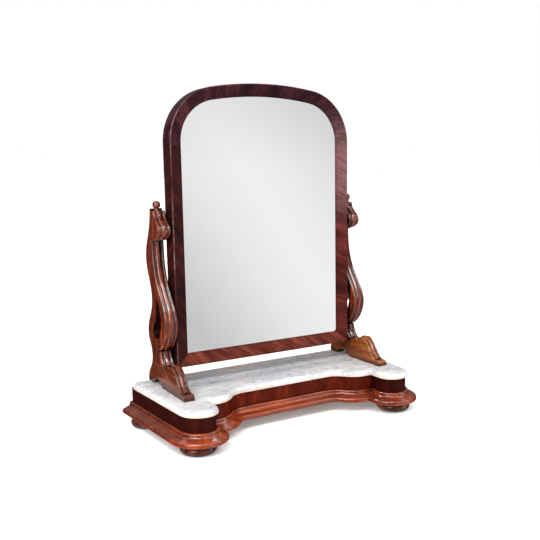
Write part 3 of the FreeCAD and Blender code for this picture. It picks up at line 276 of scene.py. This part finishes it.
def painted_scroll_shade(tree):
    """1 on the walls of an upright's pierced eye, where shade is painted, and in a line under its loop, where
    a shadow is painted.
    """
    _, y, z = axes(tree, place(tree))
    rise = work(tree, "SUBTRACT", z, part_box("marble_top")[1].z)
    sideways = facing(tree, 0)
    half = spread(tree, rise, EYE_WIDEST, EYE_TOP, EYE_HALF_WIDTH, EYE_TIP)
    aside = work(tree, "ABSOLUTE", work(tree, "SUBTRACT", y, EYE_MIDDLE))
    inside = work(tree, "LESS_THAN", aside, half)
    above = work(tree, "GREATER_THAN", rise, EYE_FLOOR)
    below = work(tree, "LESS_THAN", rise, EYE_TOP)
    eye = times(tree, spread(tree, sideways, 0.7, 0.4), inside, above, below)
    spot = add(tree, "ShaderNodeCombineXYZ", {0: y, 1: rise}).outputs[0]
    off = vector_work(tree, "DISTANCE", {0: spot, 1: (*LOOP_CENTRE, 0.0)}, "Value")
    outside = work(tree, "GREATER_THAN", off, LOOP_REACH)
    fading = spread(tree, off, LOOP_REACH + LINE_WIDTH, LOOP_REACH + LINE_FADE, 1.0, 0.0)
    behind = work(tree, "GREATER_THAN", y, LOOP_BACK)
    low = work(tree, "LESS_THAN", rise, LOOP_CENTRE[1] - 0.5 * LOOP_REACH)
    line = times(tree, outside, fading, behind, low, spread(tree, sideways, 0.5, 0.8))
    return work(tree, "MAXIMUM", eye, line)


PORE_TONE = "1c0806"
# colour of the painted shade in the woods' corners and recesses
SHADE_TONE = "0e0302"
WOOD_ARRIS = 0.0012
GRAIN_DEPTH = 0.00003
SHADE_START = -0.17


def wood(name, dark, middle, light, turn, bands, stretch, lay=place, contrast=0.15, mottle=0.06, gloss=0.3,
         specular=0.3, corner_shade=0.6, shade_reach=0.014, shade_range=(0.3, 0.8), wear_and_highlight=0.25, wear_and_highlight_tone="b98a62", patches=0.35,
         rear=0.0, framed=False, pierced=False, sheened=None):
    """Polished mahogany. Its grain runs along X once the place is turned, and bands lie across it.

    bands is how many fall in a metre and stretch how many times longer than wide they are;
    soot is how far painted shade reaches out of a corner, soiled how closed that corner is, and rear how much
    darker the wood is at the back. The mirror's frame has a pale line painted along its front edge, partly
    wear and partly a painted highlight, and the pierced uprights have painted shade in their eyes and a
    painted shadow line under their loops.
    """
    material, tree, shader = new_material(name)
    where = warped(tree, turned(tree, lay(tree), turn), 6.0, 0.03)
    broad = noise(tree, scaled(tree, where, (1 / stretch, 1, 1)), bands, 3.0, 0.5, 0.4)
    fine = noise(tree, scaled(tree, where, (1 / (3 * stretch), 1, 1)), 6 * bands, 3.0, 0.6)
    cloud = noise(tree, where, 40.0, 3.0, 0.6, 1.0)
    pores = noise(tree, scaled(tree, where, (0.03, 1, 1)), 1500.0, 2.0, 0.7)
    shares = ((broad, 0.65 - mottle), (fine, 0.35), (cloud, mottle))
    parts = [work(tree, "MULTIPLY", value, share) for value, share in shares]
    grain = work(tree, "ADD", work(tree, "ADD", parts[0], parts[1]), parts[2])
    tones = zip((0.5 - contrast, 0.5, 0.5 + contrast), (tone(dark), tone(middle), tone(light)))
    colour = ramp(tree, grain, *tones)
    stained = spread(tree, noise(tree, place(tree), 7.0, 2.0), 0.45, 0.7, 0.0, patches)
    back = spread(tree, axis(tree, place(tree), 1), SHADE_START, 0.0, 0.0, rear)
    colour = mix(tree, work(tree, "MAXIMUM", stained, back), colour, tone(dark))
    pit = spread(tree, pores, 0.56, 0.68)
    colour = mix(tree, work(tree, "MULTIPLY", pit, 0.4), colour, tone(PORE_TONE))
    # painted sheen on the polish at the frame's right shoulder
    if sheened:
        colour = mix(tree, painted_sheen(tree, fine), colour, tone(sheened))
    soft, near_edge = edges(tree, WOOD_ARRIS)
    # pale edges: wear, and on the mirror's frame partly a painted highlight along the front arris
    rim = edge_wear_and_highlight(tree) if framed else spread(tree, near_edge, 0.02, 0.25)
    uneven = spread(tree, noise(tree, place(tree), 90.0, 3.0), 0.35, 0.65, 0.3, 1.0)
    colour = mix(tree, times(tree, uneven, rim, wear_and_highlight), colour, tone(wear_and_highlight_tone))
    # painted shade: the wood is darkened in corners, creases and recesses
    deep = spread(tree, crevice(tree, shade_reach), *shade_range, 0.0, corner_shade)
    # painted shade in the uprights' pierced eyes and a painted shadow line under their loops
    if pierced:
        deep = work(tree, "MAXIMUM", deep, work(tree, "MULTIPLY", painted_scroll_shade(tree), 0.9))
    colour = mix(tree, deep, colour, tone(SHADE_TONE))
    smear = noise(tree, place(tree), 25.0, 3.0)
    rough = spread(tree, smear, 0.3, 0.7, gloss - 0.04, gloss + 0.06)
    rough = work(tree, "ADD", rough, work(tree, "MULTIPLY", pit, 0.08))
    height = work(tree, "SUBTRACT", work(tree, "MULTIPLY", fine, 0.4), pit)
    feed(tree, shader.inputs["Base Color"], colour)
    feed(tree, shader.inputs["Roughness"], rough)
    feed(tree, shader.inputs["Normal"], bump(tree, height, GRAIN_DEPTH, soft, 0.5))
    shader.inputs["Specular IOR Level"].default_value = specular
    return material


def pine(name, turn):
    """Plain softwood, browned by age, with growth lines along Z once the place is turned, and a few knots."""
    material, tree, shader = new_material(name)
    where = warped(tree, turned(tree, place(tree), turn), 3.0, 0.02)
    lines = noise(tree, scaled(tree, where, (1, 1, 0.02)), 90.0, 4.0, 0.6)
    fibres = noise(tree, scaled(tree, where, (1, 1, 0.015)), 800.0, 2.0, 0.6)
    drawn_out = scaled(tree, where, (1, 1, 0.5))
    knots = add(tree, "ShaderNodeTexVoronoi", {"Vector": drawn_out, "Scale": 4.0}).outputs[0]
    colour = ramp(tree, lines, (0.3, tone("5c3c22")), (0.5, tone("7d5733")), (0.7, tone("946d44")))
    colour = mix(tree, spread(tree, fibres, 0.4, 0.7, 0.0, 0.35), colour, tone("4d321d"))
    colour = mix(tree, spread(tree, knots, 0.0, 0.06, 0.8, 0.0), colour, tone("3a2212"))
    stained = spread(tree, noise(tree, place(tree), 5.0, 4.0), 0.4, 0.7, 0.0, 0.5)
    colour = mix(tree, stained, colour, tone("4b3420"))
    soft = edges(tree, 0.001)[0]
    # painted shade in the pine's corners and recesses
    colour = mix(tree, spread(tree, crevice(tree, 0.02), 0.3, 0.9, 0.0, 0.7), colour, tone("20150d"))
    feed(tree, shader.inputs["Base Color"], colour)
    feed(tree, shader.inputs["Roughness"], spread(tree, fibres, 0.3, 0.7, 0.6, 0.85))
    feed(tree, shader.inputs["Normal"], bump(tree, fibres, 0.0002, soft, 0.6))
    shader.inputs["Specular IOR Level"].default_value = 0.3
    return material


# Stone, glass, metal and leather

# Scale, width and strength of each set of veins
VEINS = ((9.0, 0.02, 0.45), (26.0, 0.03, 0.35), (70.0, 0.05, 0.3), (150.0, 0.06, 0.3))
# Depth and width of a painted shadow line across the back of the marble, under the mirror
REAR_SHADOW_LINE = 0.05
REAR_SHADOW_WIDTH = 0.012


def marble(name):
    """White marble with soft grey veins along its length, browned in spots and at its lower edge, with
    painted shade over its back under the mirror and in its corners.
    """
    material, tree, shader = new_material(name)
    low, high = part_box("marble_top")
    where = warped(tree, place(tree), 4.0, 0.05)
    along = scaled(tree, where, (0.16, 1, 1))
    cloud = noise(tree, along, 16.0, 6.0, 0.62, 0.4)
    colour = ramp(tree, cloud, (0.3, tone("abacb0")), (0.46, tone("c3c3c5")), (0.62, tone("d4d3d2")))
    for scale, width, strength in VEINS:
        wander = noise(tree, along, scale, 5.0, 0.65, 0.3)
        ridge = work(tree, "ABSOLUTE", work(tree, "SUBTRACT", wander, 0.5))
        broken = spread(tree, noise(tree, place(tree), 11.0 + scale, 2.0), 0.42, 0.62)
        vein = times(tree, spread(tree, ridge, 0.0, width, strength, 0.0), broken)
        colour = mix(tree, vein, colour, tone("86868a"))
    between = spread(tree, work(tree, "ABSOLUTE", axis(tree, place(tree), 0)), 0.3, 0.2)
    wobble = work(tree, "MULTIPLY", noise(tree, along, 20.0, 4.0), 0.04)
    depth = work(tree, "ADD", axis(tree, place(tree), 1), work(tree, "SUBTRACT", wobble, 0.02))
    # painted shade over the back of the marble, under the mirror
    rear = spread(tree, depth, 0.0, 0.05, 0.0, 0.5)
    cloudy = spread(tree, cloud, 0.35, 0.65, 1.0, 0.4)
    colour = mix(tree, times(tree, between, rear, cloudy), colour, tone("8b919c"))
    # a painted shadow line along the back of the marble
    from_line = work(tree, "ABSOLUTE", work(tree, "SUBTRACT", depth, REAR_SHADOW_LINE))
    line = spread(tree, from_line, 0.0, REAR_SHADOW_WIDTH, 0.65, 0.0)
    patchy = spread(tree, noise(tree, place(tree), 12.0, 3.0), 0.4, 0.62, 0.15, 1.0)
    colour = mix(tree, times(tree, line, patchy, between), colour, tone("55585e"))
    foxed = spread(tree, noise(tree, along, 10.0, 4.0), 0.5, 0.66, 0.0, 0.55)
    colour = mix(tree, times(tree, between, foxed), colour, tone("cdb9a8"))
    edge = spread(tree, axis(tree, place(tree), 2), low.z, low.z + 0.4 * (high.z - low.z), 0.85, 0.0)
    uneven = spread(tree, noise(tree, place(tree), 14.0, 4.0), 0.35, 0.65, 0.35, 1.0)
    colour = mix(tree, times(tree, edge, uneven), colour, tone("d6ae86"))
    # painted shade in the corners where the marble meets the parts standing on it
    colour = mix(tree, spread(tree, crevice(tree, 0.012), 0.45, 0.95, 0.0, 0.55), colour, tone("5d554d"))
    soft = edges(tree, 0.0015)[0]
    scratches = noise(tree, scaled(tree, place(tree), (0.1, 1, 1)), 600.0, 2.0)
    dulled = noise(tree, place(tree), 30.0, 4.0)
    feed(tree, shader.inputs["Base Color"], colour)
    feed(tree, shader.inputs["Roughness"], spread(tree, dulled, 0.3, 0.7, 0.2, 0.38))
    feed(tree, shader.inputs["Normal"], bump(tree, scratches, 0.00004, soft, 0.4))
    shader.inputs["Specular IOR Level"].default_value = 0.4
    shader.inputs["Subsurface Weight"].default_value = 0.12
    shader.inputs["Subsurface Scale"].default_value = 0.004
    return material


# Position along the plate's slant, and brightness of the silver with a painted reflection gradient
SILVER_AND_REFLECTION = ((0.0, 0.55), (0.3, 0.8), (0.48, 0.87), (0.6, 0.84), (0.85, 0.72))
SLANT_ACROSS = 1.1
SLANT_UP = 0.8


def silvered_glass(name):
    """Old mirror plate: clear silver, a little dulled, with a painted reflection gradient across it and
    painted shade along its border.
    """
    material, tree, shader = new_material(name)
    where = place(tree)
    # painted reflection: the silver's brightness follows a slant across the plate
    across = work(tree, "MULTIPLY", axis(tree, where, 0), SLANT_ACROSS)
    slant = work(tree, "ADD", across, work(tree, "MULTIPLY", axis(tree, where, 2), SLANT_UP))
    slant = work(tree, "ADD", slant, work(tree, "MULTIPLY", noise(tree, where, 3.0, 3.0), 0.06))
    colour = grey_ramp(tree, slant, SILVER_AND_REFLECTION)
    # painted shade along the border, where the frame stands over the glass
    colour = mix(tree, spread(tree, crevice(tree, 0.008), 0.3, 0.9, 0.0, 0.7), colour, tone("3b3a38"))
    specks = spread(tree, noise(tree, where, 420.0, 2.0), 0.74, 0.8, 0.0, 0.25)
    colour = mix(tree, specks, colour, tone("8a8a86"))
    hazy = noise(tree, where, 12.0, 4.0)
    feed(tree, shader.inputs["Base Color"], colour)
    feed(tree, shader.inputs["Roughness"], spread(tree, hazy, 0.35, 0.75, 0.012, 0.05))
    shader.inputs["Metallic"].default_value = 1.0
    return material


def metal(name, bright, dull, rust, rough):
    """Turned metal with fine tool lines and tarnish in its corners."""
    material, tree, shader = new_material(name)
    tarnish = spread(tree, noise(tree, place(tree), 140.0, 4.0, 0.6), 0.35, 0.7)
    colour = mix(tree, tarnish, tone(bright), tone(dull))
    colour = mix(tree, spread(tree, crevice(tree, 0.004), 0.3, 0.9, 0.0, 0.8), colour, tone(rust))
    soft, near_edge = edges(tree, 0.0004)
    colour = mix(tree, spread(tree, near_edge, 0.05, 0.4, 0.0, 0.5), colour, tone(bright))
    lines = noise(tree, scaled(tree, place(tree), (1, 1, 0.15)), 2500.0, 2.0)
    feed(tree, shader.inputs["Base Color"], colour)
    feed(tree, shader.inputs["Roughness"], spread(tree, tarnish, 0.0, 1.0, rough, rough + 0.25))
    feed(tree, shader.inputs["Normal"], bump(tree, lines, 0.00003, soft, 0.4))
    shader.inputs["Metallic"].default_value = 1.0
    return material


def leather(name):
    """Dark oiled hide with a fine pebbled grain."""
    material, tree, shader = new_material(name)
    cells = add(tree, "ShaderNodeTexVoronoi", {"Vector": place(tree), "Scale": 1400.0}).outputs[0]
    colour = ramp(tree, noise(tree, place(tree), 120.0, 3.0), (0.35, tone("2a1710")), (0.65, tone("4a2c1c")))
    soft, near_edge = edges(tree, 0.0003)
    colour = mix(tree, spread(tree, near_edge, 0.05, 0.5, 0.0, 0.4), colour, tone("6d4a31"))
    feed(tree, shader.inputs["Base Color"], colour)
    feed(tree, shader.inputs["Roughness"], spread(tree, cells, 0.0, 0.6, 0.5, 0.75))
    feed(tree, shader.inputs["Normal"], bump(tree, cells, 0.0001, soft, 0.5))
    return material


# What each node is made of

def make_finishes():
    # the veneer's pale edge tone paints wear and a highlight along the frame's front arris
    veneer = dict(stretch=5, contrast=0.13, gloss=0.4, specular=0.06, corner_shade=0.5, wear_and_highlight=0.9, wear_and_highlight_tone="94706a",
                  framed=True)
    plum = dict(dark="1a080d", middle="2e1018", light="482022", **veneer)
    deep = dict(dark="180606", middle="2c0d0d", light="461a16", **veneer)
    # a lighter copy of the stile veneer for the right stile, painting the sheen of light that falls on it
    sheened_stile = dict(dark="280a09", middle="421613", light="642b22", **veneer)
    bright = dict(dark="36120d", middle="502018", light="743a2b", **veneer)
    carved = dict(dark="280904", middle="561a09", light="8c4018", contrast=0.18, gloss=0.14, specular=0.7,
                  corner_shade=0.97, shade_reach=0.04, shade_range=(0.2, 0.58), wear_and_highlight=0.3, wear_and_highlight_tone="a87a50", patches=0.25)
    rubbed = {**carved, "specular": 0.4, "wear_and_highlight": 0.6, "wear_and_highlight_tone": "b58d70"}
    russet = {**rubbed, "dark": "34130a", "middle": "602712", "light": "8c4e2c"}
    tawny = {**rubbed, "dark": "4c1e0a", "middle": "7e3c12", "light": "ac6a28"}
    shaped = dict(dark="3a0e06", middle="7a2b11", light="a85022", contrast=0.22, gloss=0.12, specular=0.6,
                  corner_shade=0.95, shade_reach=0.03, shade_range=(0.2, 0.65), wear_and_highlight=0.3)
    cross = {**shaped, "dark": "2a0a05", "rear": 0.6}
    lining = dict(turn=(0, 80, 0), bands=34, stretch=8, contrast=0.2, gloss=0.3, specular=0.05, corner_shade=0.6,
                  wear_and_highlight=0.15)
    return {
        # the arch and the right stile carry the painted sheen at the right shoulder
        "arch": wood("flame_veneer_arch", turn=(0, 52, 20), bands=40, lay=along_arch, sheened=SHEEN_TONE,
                     **plum),
        "stile": wood("flame_veneer_stile", turn=(0, -40, 0), bands=36, lay=wrapped, **deep),
        # the right stile: the lighter copy of the veneer that stands in for its sheen, plus the painted sheen
        # at the shoulder
        "stile_right": wood("flame_veneer_stile_right", turn=(0, -40, 0), bands=50, lay=wrapped,
                            sheened=SHEEN_TONE, **sheened_stile),
        "rail": wood("flame_veneer_rail", turn=(0, -52, 0), bands=60, lay=wrapped, **bright),
        "upright": wood("carved_mahogany", turn=(0, 84, 8), bands=90, stretch=22, pierced=True, **carved),
        "bracket": wood("bracket_mahogany", turn=(0, -20, 90), bands=90, stretch=14, **russet),
        "bracket_right": wood("bracket_mahogany_right", turn=(0, -20, 90), bands=90, stretch=14, **tawny),
        "frieze": wood("frieze_veneer", dark="1e0503", middle="2e0905", light="401108", **lining),
        "frieze_centre": wood("frieze_veneer_centre", dark="320a04", middle="4e1406", light="6c240c",
                              **lining),
        "moulding_side": wood("moulding_side", turn=(0, 0, 60), bands=40, stretch=4, mottle=0.12, patches=0.5,
                              **cross),
        "moulding": wood("moulding_front", turn=(0, 0, 4), bands=90, stretch=20, **shaped),
        "foot": wood("foot_mahogany", dark="260d08", middle="502418", light="7a402c", turn=(0, 0, 0),
                     bands=50, stretch=6, gloss=0.1, specular=0.4, corner_shade=0.7, wear_and_highlight=0.3, wear_and_highlight_tone="6c4432"),
        "pine": pine("aged_pine", turn=(0, 90, 0)),
        "pine_upright": pine("aged_pine_upright", turn=(0, 0, 0)),
        "marble": marble("veined_marble"),
        "mirror": silvered_glass("silvered_glass"),
        "brass": metal("aged_brass", bright="5c4420", dull="241809", rust="0e0804", rough=0.4),
        "steel": metal("screw_steel", bright="6a6663", dull="35322f", rust="2a1a12", rough=0.4),
        "leather": leather("washer_leather"),
    }


BY_SLOT = {
    "upright_mahogany": "upright", "frieze_veneer": "frieze", "moulding_mahogany": "moulding",
    "foot_mahogany": "foot", "inner_pine": "pine", "brass": "brass", "steel": "steel",
    "leather": "leather", "marble": "marble", "mirror": "mirror", "frame_veneer": "stile",
}
BY_NODE = {
    "frame_top_arch": "arch", "frame_bottom_rail": "rail", "frame_stile_right": "stile_right",
    "upright_foot_left": "bracket", "upright_foot_right": "bracket_right", "frieze_centre": "frieze_centre",
    "mirror_backboard": "pine_upright", "plinth_moulding_left": "moulding_side",
    "plinth_moulding_right": "moulding_side",
}


def dress(finishes):
    """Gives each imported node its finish, by its name or else by the slot that it came with."""
    for name, node in NODES.items():
        slot = node.data.materials[0].name.split(".")[0]
        node.data.materials[0] = finishes[BY_NODE.get(name, BY_SLOT[slot])]


# Uprights

BROADER = 0.006


def broaden(name):
    """Stands in for an upright: the same carving, broader towards the mirror than its plain solid."""
    low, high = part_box(name)
    outer, inner = (high.x, low.x) if low.x > 0 else (low.x, high.x)
    stretch = 1 + BROADER / abs(outer - inner)
    mesh = NODES[name].data.copy()
    for vertex in mesh.vertices:
        vertex.co.x = outer + (vertex.co.x - outer) * stretch
    piece = bpy.data.objects.new(f"{name}_carved", mesh)
    bpy.context.scene.collection.objects.link(piece)
    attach(piece, "stand")
    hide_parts(name)


# Stage and light

FLOOR_REACH = 60
FLOOR_WHITE = 0.97
FLOOR_GLOW = 0.18


def make_floor():
    """A pale matt floor with a slight glow, so that its shadows stay light."""
    corners = [(x * FLOOR_REACH, y * FLOOR_REACH, 0) for x, y in ((-1, -1), (1, -1), (1, 1), (-1, 1))]
    mesh = bpy.data.meshes.new("floor")
    mesh.from_pydata(corners, [], [(0, 1, 2, 3)])
    floor = bpy.data.objects.new("floor", mesh)
    material, _, shader = new_material("pale_floor")
    shader.inputs["Base Color"].default_value = grey(FLOOR_WHITE)
    shader.inputs["Emission Color"].default_value = grey(1.0)
    shader.inputs["Emission Strength"].default_value = FLOOR_GLOW
    shader.inputs["Roughness"].default_value = 1.0
    shader.inputs["Specular IOR Level"].default_value = 0.0
    mesh.materials.append(material)
    floor.visible_glossy = False
    bpy.context.scene.collection.objects.link(floor)


def towards(tree, way, direction, low, high):
    """How far the sky's direction is within a cone: 0 at the cosine low and 1 at the cosine high."""
    return spread(tree, vector_work(tree, "DOT_PRODUCT", {0: way, 1: direction}, "Value"), low, high)


# Height from 0 straight down to 1 straight up, and brightness
ROOM = ((0.25, 0.7), (0.33, 0.05), (0.42, 0.04), (0.5, 0.1), (0.75, 0.4))
# Height above the horizon, and brightness
SCREEN = ((0.0, 1.0), (0.12, 0.86), (0.3, 0.4))
SCREEN_WAY = (0.48, -0.88, 0)
FRONT_WAY = (-0.3, -0.95, 0)
RING_LIGHT = 7.0
RING_BEHIND = 3.0


def make_sky():
    """A dim room with a ring of light overhead and a screen that the mirror sees; its backdrop is white."""
    world = bpy.data.worlds.new("studio")
    world.use_nodes = True
    tree = world.node_tree
    way = add(tree, "ShaderNodeTexCoord", {}).outputs["Generated"]
    up = axis(tree, way, 2)
    room = grey_ramp(tree, work(tree, "ADD", work(tree, "MULTIPLY", up, 0.5), 0.5), ROOM)
    screen = grey_ramp(tree, up, SCREEN)
    colour = mix(tree, towards(tree, way, SCREEN_WAY, 0.7, 0.85), room, screen)
    ring = times(tree, spread(tree, up, 0.72, 0.75), spread(tree, up, 0.85, 0.82))
    front = towards(tree, way, FRONT_WAY, -0.2, 0.1)
    colour = mix(tree, ring, colour, mix(tree, front, grey(RING_BEHIND), grey(RING_LIGHT)))
    seen = add(tree, "ShaderNodeLightPath", {}).outputs["Is Camera Ray"]
    feed(tree, tree.nodes["Background"].inputs["Color"], mix(tree, seen, colour, grey(1.0)))
    bpy.context.scene.world = world


LAMP_AIM = 0.5


def sun(name, azimuth, elevation, strength, spread_angle):
    """A large far lamp; azimuth 0 shines along +Y and 90 along -X."""
    data = bpy.data.lights.new(name, "SUN")
    data.energy = strength
    data.angle = math.radians(spread_angle)
    lamp = bpy.data.objects.new(name, data)
    lamp.rotation_euler = (math.radians(90 - elevation), 0, math.radians(azimuth))
    bpy.context.scene.collection.objects.link(lamp)


def panel(name, azimuth, elevation, distance, size, power):
    """A flat lamp that faces the object's middle; azimuth 0 shines along +Y and -90 along +X."""
    data = bpy.data.lights.new(name, "AREA")
    data.shape = "RECTANGLE"
    data.size, data.size_y = size
    data.energy = power
    lamp = bpy.data.objects.new(name, data)
    middle = Matrix.Translation((0, 0, LAMP_AIM))
    turn = Matrix.Rotation(math.radians(azimuth), 4, "Z") @ Matrix.Rotation(-math.radians(elevation), 4, "X")
    away = Matrix.Translation((0, -distance, 0))
    lamp.matrix_world = middle @ turn @ away @ Matrix.Rotation(math.pi / 2, 4, "X")
    bpy.context.scene.collection.objects.link(lamp)


def make_lights():
    sun("key", azimuth=-32, elevation=50, strength=0.8, spread_angle=8)
    panel("left_panel", azimuth=-54, elevation=20, distance=2.3, size=(0.8, 1.8), power=38)
    panel("left_strip", azimuth=-70, elevation=5, distance=2.0, size=(0.07, 1.8), power=6)
    panel("right_strip", azimuth=52, elevation=5, distance=2.2, size=(0.06, 1.6), power=8)


make_camera()
make_floor()
make_sky()
make_lights()
dress(make_finishes())
for upright in ("upright_left", "upright_right"):
    broaden(upright)
bpy.context.scene.view_settings.view_transform = "Standard"
